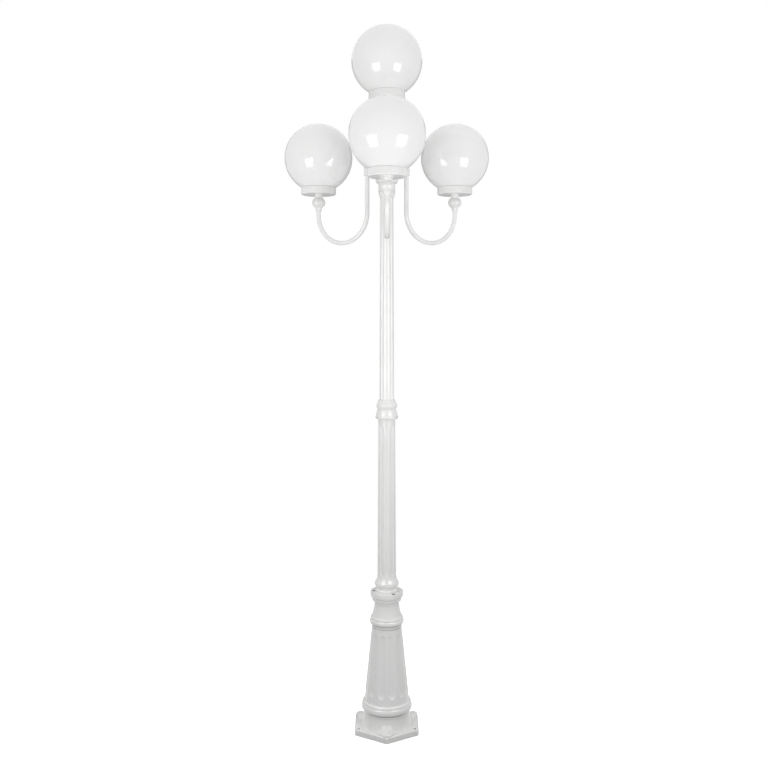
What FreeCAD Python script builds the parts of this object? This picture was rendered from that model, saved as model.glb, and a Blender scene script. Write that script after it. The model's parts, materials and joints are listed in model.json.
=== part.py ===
import FreeCAD, Part
import math
import os

# Four globe lamp post. A hexagonal foot carries a fluted pedestal, two fluted shafts and a hub.
# Three hooped arms and a riser each carry a turned knob, a gallery, a lamp and an opal globe.
# Millimetres and degrees, +Z up, origin at the foot's centre on the ground, front arm along -Y.

# Fits
slip_gap = 0.2            # radial gap of pieces that are pushed together
thread_gap = 0.05         # radial gap of a screw in its tapped hole
clearance_gap = 0.4       # radial gap of a screw in a plain hole
seat_gap = 0.3            # gap at rest under and beside a globe that turns

# Directions round the post
full_turn = 360.0
front = -90.0
arm_names = ("front", "right", "left")
arm_angles = {name: front + full_turn * i / len(arm_names) for i, name in enumerate(arm_names)}
spur_angles = tuple(arm_angles.values())
anchor_angles = (-150.0, -30.0, 90.0)
clamp_screw_angles = (180.0, -60.0, 60.0)
grub_angles = (-150.0, -30.0, 90.0)

# Hexagonal foot
foot_corner_radius = 130.0
foot_corner_round = 10.0
foot_plate_thickness = 20.0
foot_edge_round = 2.5
body_base_radius = 90.0
body_top_radius = 79.5
body_height = 44.5
foot_bore_radius = 58.0
anchor_circle_radius = 114.0
anchor_hole_radius = 5.5
spur_tip_radius = 98.0
spur_tip_round = 19.0

# Screws that draw the pedestal down on the foot
foot_screw_circle_radius = 69.5
foot_screw_radius = 4.0
foot_screw_head_radius = 6.5
foot_screw_head_height = 8.0
foot_screw_seat_height = 40.0
foot_screw_bite = 16.0
foot_screw_key = 6.0

# Pedestal, from the foot up
pedestal_wall = 5.5
pedestal_bore_radius = 61.0
pedestal_boss_height = 24.0
base_fillet_radius = 81.5
base_fillet_height = 6.0
base_recess_radius = 76.0
base_recess_height = 6.0
base_bead_radius = 88.6
base_bead_height = 20.0
base_bead_bulge = 2.9
base_groove_radius = 86.0
base_small_bead_height = 9.5
base_small_bead_bulge = 2.6
cone_bottom_radius = 79.5
cone_top_radius = 52.7
cone_height = 261.5
cone_flutes = 12
cone_flute_bottom_margin = 48.0
cone_flute_top_margin = 30.0
cone_flute_depth_bottom = 4.0
cone_flute_depth_top = 3.2
cone_flute_round_bottom = 45.0
cone_flute_round_top = 28.0
ring_recess_height = 3.5
ring_recess_depth = 2.6
ring_fillet_radius = 54.3
ring_fillet_height = 7.5
ring_bead_radius = 58.9
ring_bead_height = 15.5
ring_bead_bulge = 2.3
ring_groove_radius = 56.6
ring_small_bead_height = 9.5
ring_small_bead_bulge = 2.3
neck_base_radius = 52.4
neck_height = 40.0
neck_cove = 1.2
neck_waist_radius = 43.7
neck_top_radius = 44.6
neck_top_height = 16.5
cup_band_radius = 51.3
cup_band_height = 9.0
cup_lip_radius = 55.4
cup_lip_height = 1.5
cup_swell_radius = 57.9
cup_swell_height = 9.0
cup_swell_bulge = 0.5
cup_rim_radius = 57.2
cup_rim_height = 11.0

# Terminal block on a cast pad inside the pedestal
pad_width = 30.0
block_width = 50.0
block_depth = 36.0
block_height = 25.0
block_centre_height = 267.5
block_back = 20.0
block_port_radius = 3.0
block_port_depth = 9.0
block_ports = 5
block_screw_radius = 2.0
block_screw_head_radius = 3.5
block_screw_head_height = 2.5
block_screw_bite = 8.0
block_screw_spread = 20.0
earth_screw_radius = 3.0
earth_screw_head_radius = 5.5
earth_screw_head_height = 4.0
earth_screw_length = 10.0

# Clamp ring and its screws, sunk flush in the pedestal's cup
clamp_ring_thickness = 10.0
clamp_ring_rim = 55.0
clamp_screw_circle_radius = 47.0
clamp_screw_radius = 3.0
clamp_screw_head_radius = 5.6
clamp_screw_head_height = 4.0
clamp_screw_sink = 4.0
clamp_screw_bite = 9.0
clamp_screw_key = 4.0

# Lower shaft and the flange threaded on its end
lower_flange_thickness = 8.0
lower_thread_radius = 36.0
lower_plinth_radius = 39.9
lower_plinth_height = 6.0
lower_shoulder_height = 4.5
lower_shoulder_bulge = 0.8
lower_neck_radius = 37.0
lower_neck_height = 9.0
lower_bead_radius = 40.4
lower_bead_height = 15.5
lower_bead_bulge = 1.9
lower_cove_radius = 39.4
lower_cove_height = 22.0
lower_cove = 1.2
lower_shaft_bottom_radius = 33.0
lower_shaft_top_radius = 29.9
lower_shaft_length = 648.0
lower_shaft_bore = 23.5
lower_flute_depth = 2.6
lower_flute_round = 18.0
lower_flute_bottom_margin = 11.0
lower_flute_top_margin = 41.0
shaft_flutes = 10

# Spigot, collar and grub screws that join the two shafts
spigot_flange_thickness = 6.0
spigot_flange_radius = 29.4
spigot_lower_length = 60.0
spigot_upper_length = 70.0
spigot_bore = 14.0
collar_skirt_drop = 12.0
collar_mouth_radius = 36.0
collar_lip_radius = 40.0
collar_lip_turn = 4.0
collar_lip_height = 5.0
collar_bell_radius = 37.9
collar_bell_step = 3.0
collar_bell_height = 24.0
collar_bell_bulge = 1.0
collar_groove_radius = 31.5
collar_bead_height = 18.0
collar_bead_bulge = 3.7
collar_shoulder_radius = 34.3
collar_crown_height = 14.0
collar_crown_bulge = 0.5
collar_crown_radius = 27.9
joint_grub_radius = 3.0
joint_grub_depth = 2.0

# Upper shaft
upper_shaft_bottom_radius = 26.3
upper_shaft_top_radius = 23.5
upper_shaft_length = 810.0
upper_shaft_bore = 18.0
upper_flute_depth = 2.1
upper_flute_round = 14.0
upper_flute_bottom_margin = 56.0
upper_flute_top_margin = 57.0

# Ferrule over the top of the upper shaft
ferrule_height = 51.0
ferrule_cap_thickness = 8.0
ferrule_bottom_radius = 29.2
ferrule_top_radius = 30.0
ferrule_chamfer_height = 11.0
ferrule_lip = 0.8
ferrule_grub_drop = 24.0
ferrule_grub_radius = 3.0
ferrule_grub_sink = 1.5

# Hub that carries the arms and the riser
hub_spigot_length = 60.0
hub_skirt_bottom_radius = 36.5
hub_skirt_radius = 39.4
hub_skirt_turn = 6.0
hub_skirt_height = 14.0
hub_waist_radius = 34.0
hub_waist_rise = 10.0
hub_drum_height = 104.0
hub_dome_height = 14.0
hub_dome_swell = 3.5
hub_boss_radius = 13.0
hub_boss_height = 18.0
hub_wall = 5.5
hub_roof = 5.0
hub_floor_height = 40.0
hub_floor_slope = 10.0
limb_centre_height = 92.0
limb_radius = 12.0
limb_bend = 25.0
limb_bore = 6.0
limb_socket_depth = 28.0
limb_socket_height = 32.0
arm_grub_radius = 2.5
arm_grub_height = 14.0
arm_grub_sink = 0.8

# Arms and riser
arm_tube_radius = 8.0
arm_tube_bore = 6.5
arm_root_radius = 81.0
arm_lamp_radius = 291.0
arm_inner_leg = 132.0
arm_outer_leg = 32.0
riser_socket_depth = 20.0
riser_length = 132.0

# Turned knob under each gallery
knob_socket_depth = 14.0
knob_mouth_radius = 10.2
knob_cone_radius = 15.0
knob_cone_height = 14.0
knob_cone_cove = 0.8
knob_ball_height = 33.0
knob_ball_radius = 24.5
knob_neck_radius = 14.2
knob_neck_height = 12.0
knob_passage = 5.0

# Hollow nipple and locknut that hold knob, gallery and lampholder together
nipple_radius = 6.5
nipple_bore = 4.2
nipple_bite = 11.0
nipple_holder_bite = 8.0
locknut_flats = 19.0
locknut_thickness = 4.0

# Gallery and its gasket
gallery_radius = 64.0
gallery_wall = 2.5
gallery_floor = 3.0
gallery_edge_round = 4.0
gasket_thickness = 4.0
gasket_width = 7.0

# Twist lock between gallery and globe
lock_count = 3
hook_reach = 2.2
hook_thickness = 3.0
hook_angle = 20.0
stop_angle = 4.0
lug_angle = 18.0
lug_play_angle = 1.0
lug_thickness = 3.0
lug_height = 3.0

# Globe
globe_radius = 125.0
globe_wall = 2.5
globe_neck_radius = 58.0
globe_neck_length = 16.7

# Lampholder, lamp cap and lamp
holder_base_radius = 17.0
holder_base_height = 8.0
holder_radius = 20.0
holder_shoulder = 16.0
holder_chamber_radius = 12.0
holder_chamber_height = 8.0
holder_bridge = 4.0
holder_socket_depth = 26.0
cap_radius = 13.2
cap_contact_radius = 5.0
cap_contact_height = 2.0
cap_insulator_height = 3.0
cap_stand = 1.0
bulb_neck_radius = 14.5
bulb_neck_height = 22.0
bulb_radius = 30.0
bulb_flare_height = 32.0
bulb_flare_cove = 1.5

# Lamp cables inside the post
cable_radius = 3.0
cable_circle_radius = 10.0

# Levels that follow from the sizes above
foot_top = foot_plate_thickness + body_height
base_bead_bottom = foot_top + base_fillet_height + base_recess_height
base_groove = base_bead_bottom + base_bead_height
cone_bottom = base_groove + base_small_bead_height
cone_top = cone_bottom + cone_height
ring_fillet_bottom = cone_top + ring_recess_height
ring_fillet_top = ring_fillet_bottom + ring_fillet_height
ring_bead_bottom = ring_fillet_top + ring_recess_height
ring_groove = ring_bead_bottom + ring_bead_height
neck_base = ring_groove + ring_small_bead_height
neck_waist = neck_base + neck_height
cup_bottom = neck_waist + neck_top_height
cup_lip = cup_bottom + cup_band_height + cup_lip_height
cup_swell = cup_lip + cup_swell_height
cup_rim = cup_swell + cup_rim_height
flange_top = cup_rim - clamp_ring_thickness
cup_seat = flange_top - lower_flange_thickness
lower_shaft_top = cup_seat + lower_shaft_length
upper_shaft_foot = lower_shaft_top + spigot_flange_thickness
upper_shaft_top = upper_shaft_foot + upper_shaft_length
hub_base = upper_shaft_top + ferrule_cap_thickness
limb_level = hub_base + limb_centre_height
limb_mouth = hub_base + limb_socket_height
arm_bend_level = limb_mouth - arm_inner_leg
arm_bend_radius = (arm_lamp_radius - arm_root_radius) / 2
riser_seat = hub_base + hub_drum_height + hub_dome_height + hub_boss_height - riser_socket_depth
knob_height = knob_cone_height + knob_ball_height + knob_neck_height
arm_gallery = arm_bend_level + arm_outer_leg - knob_socket_depth + knob_height
top_gallery = riser_seat + riser_length - knob_socket_depth + knob_height
lamp_places = {name: (arm_lamp_radius, arm_gallery, angle) for name, angle in arm_angles.items()}
lamp_places["top"] = (0.0, top_gallery, front)


def vector(radius, height, angle=0.0):
    """Point at a radius, a height and a direction round the post."""
    turn = math.radians(angle)
    return FreeCAD.Vector(radius * math.cos(turn), radius * math.sin(turn), height)


origin = vector(0, 0)
up = FreeCAD.Vector(0, 0, 1)


def placed(shape, radius, height, angle):
    """Copy of a shape moved out along +X and up, then turned about the post's axis."""
    copy = shape.copy()
    copy.translate(FreeCAD.Vector(radius, 0, height))
    copy.rotate(origin, up, angle)
    return copy


def section(points):
    """Closed half section. A third value is an arc's bulge to the right of its run, or its middle."""
    edges = []
    ends = list(points[1:]) + [points[0][:2]]
    start = points[0]
    for end in ends:
        first = vector(start[0], start[1])
        last = vector(end[0], end[1])
        if len(end) == 2:
            edges.append(Part.makeLine(first, last))
        else:
            middle = end[2]
            if not isinstance(middle, tuple):
                run = math.hypot(end[0] - start[0], end[1] - start[1])
                middle = ((start[0] + end[0]) / 2 + (end[1] - start[1]) / run * end[2],
                          (start[1] + end[1]) / 2 - (end[0] - start[0]) / run * end[2])
            edges.append(Part.Arc(first, vector(*middle), last).toShape())
        start = end
    face = Part.Face(Part.Wire(edges))
    return face


def turned(*points, sweep=full_turn):
    """Solid turned about the Z axis from a half section of (radius, height) points."""
    return section(points).revolve(origin, up, sweep)


def rod(radius, start, end):
    """Plain round rod from one point to another."""
    return Part.makeCylinder(radius, (end - start).Length, start, end - start)


def rounded_rod(start, end, start_radius, end_radius):
    """Tapered rod with a ball at each end, the two joined by their tangent cone."""
    length = (end - start).Length
    lean = (start_radius - end_radius) / length
    reach = math.sqrt(1 - lean * lean)
    belt = (start_radius * reach, start_radius * lean)
    crown = (end_radius * reach, length + end_radius * lean)
    low = math.asin(lean) / 2 - math.pi / 4
    high = math.asin(lean) / 2 + math.pi / 4
    solid = turned((0, -start_radius),
                   belt + ((start_radius * math.cos(low), start_radius * math.sin(low)),),
                   crown,
                   (0, length + end_radius, (end_radius * math.cos(high),
                                             length + end_radius * math.sin(high))))
    solid.Placement = FreeCAD.Placement(start, FreeCAD.Rotation(up, end - start))
    return solid


def tube_along(path, radius):
    """Round bar swept along straight runs and tangent arcs."""
    first = path.Edges[0]
    tangent = first.tangentAt(first.FirstParameter)
    ring = Part.Wire(Part.makeCircle(radius, first.valueAt(first.FirstParameter), tangent))
    return path.makePipeShell([ring], True, False)


def hexagon(flats, height):
    """Hexagonal prism on the Z axis."""
    corner = flats / math.sqrt(3)
    corners = [vector(corner, 0, full_turn * i / 6) for i in range(7)]
    return Part.Face(Part.makePolygon(corners)).extrude(up * height)


def socket_screw(radius, head_radius, head_height, grip, key):
    """Socket head screw with its head's underside at the origin and its shank along -Z."""
    head = Part.makeCylinder(head_radius, head_height)
    shank = Part.makeCylinder(radius, grip, origin, -up)
    recess = hexagon(key, head_height)
    recess.translate(up * head_height / 2)
    return head.fuse(shank).removeSplitter().cut(recess)


def grub_screw(radius, inner, outer, height, angle):
    """Headless screw lying along a radius of the post, with a key socket in its outer end."""
    body = rod(radius, vector(inner, height, angle), vector(outer, height, angle))
    middle = (inner + outer) / 2
    recess = rod(radius / 2, vector(middle, height, angle), vector(outer, height, angle))
    return body.cut(recess)


def fluted(shaft, count, first_angle, low, high, round_low, round_high):
    """Shaft with round-ended flutes, cut by tapered rods from a low to a high (radius, height)."""
    for i in range(count):
        angle = first_angle + full_turn * i / count
        start = vector(low[0], low[1], angle)
        end = vector(high[0], high[1], angle)
        shaft = shaft.cut(rounded_rod(start, end, round_low, round_high))
    return shaft


# Foot

def ring_arc(radius, height, start, end):
    """Arc about the post's axis between two directions."""
    stops = [vector(radius, height, angle) for angle in (start, (start + end) / 2, end)]
    return Part.Arc(*stops).toShape()


def spur_outline():
    """Tip of a spur, the end of its round and its tangent root, as (radius, angle) on the plate."""
    lean = math.asin((body_base_radius - spur_tip_round) / spur_tip_radius)
    along = spur_tip_radius + spur_tip_round * math.sin(lean)
    aside = spur_tip_round * math.cos(lean)
    tip = (spur_tip_radius + spur_tip_round, 0.0)
    bend = (math.hypot(along, aside), math.degrees(math.atan2(aside, along)))
    root = (body_base_radius, math.degrees(math.pi / 2 - lean))
    return tip, bend, root


def foot_body():
    """Body with three spurs on the plate, ruled smoothly up to a round top."""
    tip, bend, root = spur_outline()
    gap = full_turn / len(spur_angles)
    places = ((root[0], -root[1]), (bend[0], -bend[1]), tip, bend, root)
    low = []
    high = []
    faces = []
    for angle in spur_angles:
        corners = [vector(radius, foot_plate_thickness, angle + turn) for radius, turn in places]
        for side, turn in ((corners[:2], -root[1]), (corners[3:], root[1])):
            peak = vector(body_top_radius, foot_top, angle + turn)
            faces.append(Part.Face(Part.makePolygon([*side, peak, side[0]])))
        crest = Part.Arc(*corners[1:4]).toShape()
        hollow = ring_arc(body_base_radius, foot_plate_thickness, angle + root[1], angle + gap - root[1])
        low += [Part.makeLine(*corners[:2]), crest, Part.makeLine(*corners[3:]), hollow]
        for below, stops in ((crest, (-root[1], root[1])), (hollow, (root[1], gap - root[1]))):
            above = ring_arc(body_top_radius, foot_top, angle + stops[0], angle + stops[1])
            faces.append(Part.makeRuledSurface(below, above))
            high.append(above)
    faces.append(Part.Face(Part.Wire(low)))
    faces.append(Part.Face(Part.Wire(high)))
    shell = Part.makeShell(faces)
    shell.sewShape()
    return Part.Solid(shell)


def foot():
    """Hexagonal plate and body, with a bore for the supply and holes for anchors and screws."""
    corners = [vector(foot_corner_radius, 0, front + full_turn * i / 6) for i in range(7)]
    plate = Part.Face(Part.makePolygon(corners)).extrude(up * foot_plate_thickness)
    upright = [edge for edge in plate.Edges if edge.BoundBox.ZLength > foot_plate_thickness / 2]
    plate = plate.makeFillet(foot_corner_round, upright)
    rim = [edge for edge in plate.Edges if edge.BoundBox.ZMin > foot_plate_thickness / 2]
    plate = plate.makeFillet(foot_edge_round, rim)
    solid = plate.fuse(foot_body()).removeSplitter()
    tools = [Part.makeCylinder(foot_bore_radius, foot_top)]
    head_bore = foot_screw_head_radius + clearance_gap
    for angle in anchor_angles:
        centre = vector(anchor_circle_radius, 0, angle)
        tools.append(Part.makeCylinder(anchor_hole_radius, foot_plate_thickness, centre))
    for angle in spur_angles:
        centre = vector(foot_screw_circle_radius, 0, angle)
        tools.append(Part.makeCylinder(head_bore, foot_screw_seat_height, centre))
        tools.append(Part.makeCylinder(foot_screw_radius + clearance_gap, foot_top, centre))
    return solid.cut(tools)


def foot_screws():
    """Three screws driven up through the foot into the pedestal."""
    grip = foot_top + foot_screw_bite - foot_screw_seat_height
    screw = socket_screw(foot_screw_radius, foot_screw_head_radius, foot_screw_head_height,
                         grip, foot_screw_key)
    screw.rotate(origin, FreeCAD.Vector(1, 0, 0), 180)
    place = (foot_screw_circle_radius, foot_screw_seat_height)
    return [placed(screw, *place, angle) for angle in spur_angles]


# Pedestal

def cone_radius(height):
    """Radius of the pedestal's plain cone at a height."""
    share = (height - cone_bottom) / cone_height
    return cone_bottom_radius + (cone_top_radius - cone_bottom_radius) * share


def pedestal():
    """Hollow fluted cone between bead mouldings, with a cup for the shaft's foot."""
    cup_bore = clamp_ring_rim + slip_gap
    boss_top = foot_top + pedestal_boss_height
    inner_bottom = cone_bottom_radius - cone_flute_depth_bottom - pedestal_wall
    inner_top = cone_top_radius - cone_flute_depth_top - pedestal_wall
    inner_neck = neck_waist_radius - pedestal_wall
    solid = turned((pedestal_bore_radius, foot_top),
                   (base_fillet_radius, foot_top),
                   (base_fillet_radius, foot_top + base_fillet_height),
                   (base_recess_radius, foot_top + base_fillet_height),
                   (base_recess_radius, base_bead_bottom),
                   (base_bead_radius, base_bead_bottom),
                   (base_groove_radius, base_groove, base_bead_bulge),
                   (cone_bottom_radius, cone_bottom, base_small_bead_bulge),
                   (cone_top_radius, cone_top),
                   (cone_top_radius - ring_recess_depth, cone_top),
                   (cone_top_radius - ring_recess_depth, ring_fillet_bottom),
                   (ring_fillet_radius, ring_fillet_bottom),
                   (ring_fillet_radius, ring_fillet_top),
                   (ring_fillet_radius - ring_recess_depth, ring_fillet_top),
                   (ring_fillet_radius - ring_recess_depth, ring_bead_bottom),
                   (ring_bead_radius, ring_bead_bottom),
                   (ring_groove_radius, ring_groove, ring_bead_bulge),
                   (neck_base_radius, neck_base, ring_small_bead_bulge),
                   (neck_waist_radius, neck_waist, -neck_cove),
                   (neck_top_radius, cup_bottom),
                   (cup_band_radius, cup_bottom),
                   (cup_band_radius, cup_bottom + cup_band_height),
                   (cup_lip_radius, cup_lip),
                   (cup_swell_radius, cup_swell, cup_swell_bulge),
                   (cup_rim_radius, cup_rim),
                   (cup_bore, cup_rim),
                   (cup_bore, cup_seat),
                   (inner_neck, cup_seat),
                   (inner_neck, neck_waist),
                   (inner_top, cone_top),
                   (inner_bottom, cone_bottom),
                   (pedestal_bore_radius, boss_top))
    low_height = cone_bottom + cone_flute_bottom_margin
    high_height = cone_top - cone_flute_top_margin
    low = (cone_radius(low_height) - cone_flute_depth_bottom + cone_flute_round_bottom, low_height)
    high = (cone_radius(high_height) - cone_flute_depth_top + cone_flute_round_top, high_height)
    half_step = full_turn / cone_flutes / 2
    solid = fluted(solid, cone_flutes, front + half_step, low, high,
                   cone_flute_round_bottom, cone_flute_round_top)
    half_wall = pedestal_wall / 2
    lining = Part.makeCone(inner_bottom + half_wall, inner_top + half_wall, cone_height,
                           vector(0, cone_bottom))
    pad = Part.makeBox(pad_width, cone_bottom_radius, block_height,
                       FreeCAD.Vector(-pad_width / 2, block_back, block_centre_height - block_height / 2))
    solid = solid.fuse(pad.common(lining)).removeSplitter()
    tools = []
    for angle in spur_angles:
        centre = vector(foot_screw_circle_radius, foot_top, angle)
        tools.append(Part.makeCylinder(foot_screw_radius + thread_gap, foot_screw_bite, centre))
    for angle in clamp_screw_angles:
        centre = vector(clamp_screw_circle_radius, cup_seat, angle)
        tools.append(Part.makeCylinder(clamp_screw_radius + thread_gap, clamp_screw_bite, centre, -up))
    for side in (-1, 1):
        seat = FreeCAD.Vector(side * block_screw_spread / 2, block_back, block_centre_height)
        tools.append(Part.makeCylinder(block_screw_radius + thread_gap, block_screw_bite, seat,
                                       FreeCAD.Vector(0, 1, 0)))
    tools.append(Part.makeCylinder(earth_screw_radius + thread_gap, earth_screw_length, earth_seat(), up))
    return solid.cut(tools)


def earth_seat():
    """Underside of the pad, where the earth screw goes in."""
    middle = block_back + (cone_radius(block_centre_height) - pedestal_wall - block_back) / 2
    return FreeCAD.Vector(0, middle, block_centre_height - block_height / 2)


def earth_screw():
    """Hexagon head screw under the pad for the earth wire."""
    head = hexagon(2 * earth_screw_head_radius, earth_screw_head_height)
    head.translate(earth_seat() - up * earth_screw_head_height)
    shank = Part.makeCylinder(earth_screw_radius, earth_screw_length, earth_seat())
    return head.fuse(shank).removeSplitter()


def terminal_block():
    """Insulating block with a row of supply ports underneath, flat against the pad."""
    corner = FreeCAD.Vector(-block_width / 2, block_back - block_depth,
                            block_centre_height - block_height / 2)
    solid = Part.makeBox(block_width, block_depth, block_height, corner)
    pitch = block_width / block_ports
    tools = []
    for i in range(block_ports):
        port = corner + FreeCAD.Vector(pitch * (i + 0.5), block_depth / 2, 0)
        tools.append(Part.makeCylinder(block_port_radius, block_port_depth, port))
    for side in (-1, 1):
        seat = block_screw_head_seat(side)
        through = seat + FreeCAD.Vector(0, block_depth, 0)
        tools.append(rod(block_screw_radius + clearance_gap, seat, through))
    return solid.cut(tools)


def block_screw_head_seat(side):
    """Point on the block's front face where a fixing screw's head bears."""
    return FreeCAD.Vector(side * block_screw_spread / 2, block_back - block_depth, block_centre_height)


def terminal_screws():
    """Two screws through the block into the pad."""
    screws = []
    for side in (-1, 1):
        seat = block_screw_head_seat(side)
        crown = seat - FreeCAD.Vector(0, block_screw_head_height, 0)
        tip = seat + FreeCAD.Vector(0, block_depth + block_screw_bite, 0)
        head = rod(block_screw_head_radius, seat, crown)
        screws.append(head.fuse(rod(block_screw_radius, seat, tip)).removeSplitter())
    return screws


# Clamp ring

def clamp_ring():
    """Flat ring with three counterbored holes that traps the shaft's flange in the cup."""
    bore = lower_plinth_radius + slip_gap
    solid = turned((bore, flange_top), (clamp_ring_rim, flange_top),
                   (clamp_ring_rim, cup_rim), (bore, cup_rim))
    tools = []
    sink = clamp_screw_head_height + clamp_screw_sink
    for angle in clamp_screw_angles:
        top = vector(clamp_screw_circle_radius, cup_rim, angle)
        tools.append(Part.makeCylinder(clamp_screw_head_radius + slip_gap, sink, top, -up))
        tools.append(Part.makeCylinder(clamp_screw_radius + clearance_gap, clamp_ring_thickness, top, -up))
    return solid.cut(tools)


def clamp_screws():
    """Three socket head screws sunk in the clamp ring."""
    head_seat = cup_rim - clamp_screw_sink - clamp_screw_head_height
    grip = head_seat - cup_seat + clamp_screw_bite
    screw = socket_screw(clamp_screw_radius, clamp_screw_head_radius, clamp_screw_head_height,
                         grip, clamp_screw_key)
    return [placed(screw, clamp_screw_circle_radius, head_seat, angle) for angle in clamp_screw_angles]


# Shafts

def tapered_flutes(shaft, count, bottom, top, depth, rounding):
    """Flutes along a tapering shaft, one facing the front, between two (radius, height) places."""
    low = (bottom[0] - depth + rounding, bottom[1])
    high = (top[0] - depth + rounding, top[1])
    return fluted(shaft, count, front, low, high, rounding, rounding)


def shaft_flange():
    """Ring threaded on the lower shaft's end after the clamp ring, which holds it in the cup."""
    bore = lower_thread_radius + thread_gap
    solid = turned((bore, cup_seat), (clamp_ring_rim, cup_seat),
                   (clamp_ring_rim, flange_top), (bore, flange_top))
    tools = []
    for angle in clamp_screw_angles:
        centre = vector(clamp_screw_circle_radius, cup_seat, angle)
        tools.append(Part.makeCylinder(clamp_screw_radius + clearance_gap, lower_flange_thickness, centre))
    return solid.cut(tools)


def lower_shaft():
    """Fluted tapering shaft with a moulded foot and a threaded end."""
    shoulder_low = cup_rim + lower_plinth_height
    shoulder_high = shoulder_low + lower_shoulder_height
    bead_low = shoulder_high + lower_neck_height
    bead_high = bead_low + lower_bead_height
    shaft_foot = bead_high + lower_cove_height
    solid = turned((lower_shaft_bore, cup_seat), (lower_thread_radius, cup_seat),
                   (lower_thread_radius, flange_top), (lower_plinth_radius, flange_top),
                   (lower_plinth_radius, shoulder_low),
                   (lower_neck_radius, shoulder_high, lower_shoulder_bulge),
                   (lower_neck_radius, bead_low), (lower_bead_radius, bead_low),
                   (lower_bead_radius, bead_high, lower_bead_bulge),
                   (lower_cove_radius, bead_high),
                   (lower_shaft_bottom_radius, shaft_foot, -lower_cove),
                   (lower_shaft_top_radius, lower_shaft_top), (lower_shaft_bore, lower_shaft_top))
    bottom = (lower_shaft_bottom_radius, shaft_foot + lower_flute_bottom_margin)
    top = (lower_shaft_top_radius, lower_shaft_top - lower_flute_top_margin)
    return tapered_flutes(solid, shaft_flutes, bottom, top, lower_flute_depth, lower_flute_round)


def upper_shaft():
    """Slimmer fluted shaft that stands on the joint spigot."""
    solid = turned((upper_shaft_bore, upper_shaft_foot), (upper_shaft_bottom_radius, upper_shaft_foot),
                   (upper_shaft_top_radius, upper_shaft_top), (upper_shaft_bore, upper_shaft_top))
    bottom = (upper_shaft_bottom_radius, upper_shaft_foot + upper_flute_bottom_margin)
    top = (upper_shaft_top_radius, upper_shaft_top - upper_flute_top_margin)
    solid = tapered_flutes(solid, shaft_flutes, bottom, top, upper_flute_depth, upper_flute_round)
    tools = []
    level = upper_shaft_top - ferrule_grub_drop
    for angle in grub_angles:
        end = vector(upper_shaft_bottom_radius, level, angle)
        tools.append(rod(ferrule_grub_radius + clearance_gap, vector(0, level), end))
    return solid.cut(tools)


# Joint between the shafts

def joint_spigot():
    """Stepped hollow plug whose flange parts the two shafts."""
    lower = lower_shaft_bore - slip_gap
    upper = upper_shaft_bore - slip_gap
    bottom = lower_shaft_top - spigot_lower_length
    top = upper_shaft_foot + spigot_upper_length
    return turned((spigot_bore, bottom), (lower, bottom), (lower, lower_shaft_top),
                  (spigot_flange_radius, lower_shaft_top), (spigot_flange_radius, upper_shaft_foot),
                  (upper, upper_shaft_foot), (upper, top), (spigot_bore, top))


def collar_levels():
    """Heights of the collar's mouldings, from its mouth to its crown."""
    mouth = lower_shaft_top - collar_skirt_drop
    lip = mouth + collar_lip_turn + collar_lip_height
    groove = lip + collar_bell_step + collar_bell_height
    shoulder = groove + collar_bead_height
    return mouth, lip, groove, shoulder, shoulder + collar_crown_height


def joint_collar():
    """Bell-shaped collar with a bead on top, dropped over the joint on to the spigot's flange."""
    mouth, lip, groove, shoulder, crown = collar_levels()
    wide = lower_shaft_top_radius + slip_gap + lower_taper() * collar_skirt_drop
    slim = upper_shaft_bottom_radius + slip_gap
    solid = turned((wide, mouth), (collar_mouth_radius, mouth),
                   (collar_lip_radius, mouth + collar_lip_turn), (collar_lip_radius, lip),
                   (collar_bell_radius, lip + collar_bell_step),
                   (collar_groove_radius, groove, collar_bell_bulge),
                   (collar_shoulder_radius, shoulder, collar_bead_bulge),
                   (collar_crown_radius, crown, collar_crown_bulge), (slim, crown),
                   (slim, upper_shaft_foot), (wide, upper_shaft_foot))
    tools = []
    level = joint_grub_level()
    for angle in grub_angles:
        start = vector(spigot_bore, level, angle)
        end = vector(2 * collar_lip_radius, level, angle)
        tools.append(rod(joint_grub_radius + thread_gap, start, end))
    return solid.cut(tools)


def lower_taper():
    """How much the lower shaft widens for each millimetre down."""
    return (lower_shaft_bottom_radius - lower_shaft_top_radius) / lower_shaft_length


def joint_grub_level():
    """Height of the collar's grub screws, at the middle of its lip."""
    mouth, lip = collar_levels()[:2]
    return (mouth + collar_lip_turn + lip) / 2


def joint_grub_screws():
    """Three grub screws through the collar against the lower shaft."""
    inner = lower_shaft_top_radius + slip_gap + lower_taper() * collar_skirt_drop
    outer = collar_lip_radius - joint_grub_depth
    level = joint_grub_level()
    return [grub_screw(joint_grub_radius, inner, outer, level, angle) for angle in grub_angles]


# Top of the post

def top_ferrule():
    """Capped sleeve over the upper shaft's end that the hub stands on."""
    bottom = hub_base - ferrule_height
    bore = upper_shaft_top_radius + slip_gap + upper_taper() * ferrule_height
    hole = upper_shaft_bore
    solid = turned((bore, bottom), (bore + ferrule_lip, bottom),
                   (ferrule_bottom_radius, bottom + ferrule_chamfer_height),
                   (ferrule_top_radius, hub_base), (hole, hub_base),
                   (hole, upper_shaft_top), (bore, upper_shaft_top))
    tools = []
    level = upper_shaft_top - ferrule_grub_drop
    for angle in grub_angles:
        end = vector(2 * ferrule_top_radius, level, angle)
        tools.append(rod(ferrule_grub_radius + thread_gap, vector(0, level), end))
    return solid.cut(tools)


def upper_taper():
    """How much the upper shaft widens for each millimetre down."""
    return (upper_shaft_bottom_radius - upper_shaft_top_radius) / upper_shaft_length


def ferrule_grub_screws():
    """Three grub screws through ferrule and shaft against the hub's spigot."""
    level = upper_shaft_top - ferrule_grub_drop
    outer = ferrule_bottom_radius - ferrule_grub_sink
    inner = upper_shaft_bore
    return [grub_screw(ferrule_grub_radius, inner, outer, level, angle) for angle in grub_angles]


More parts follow.
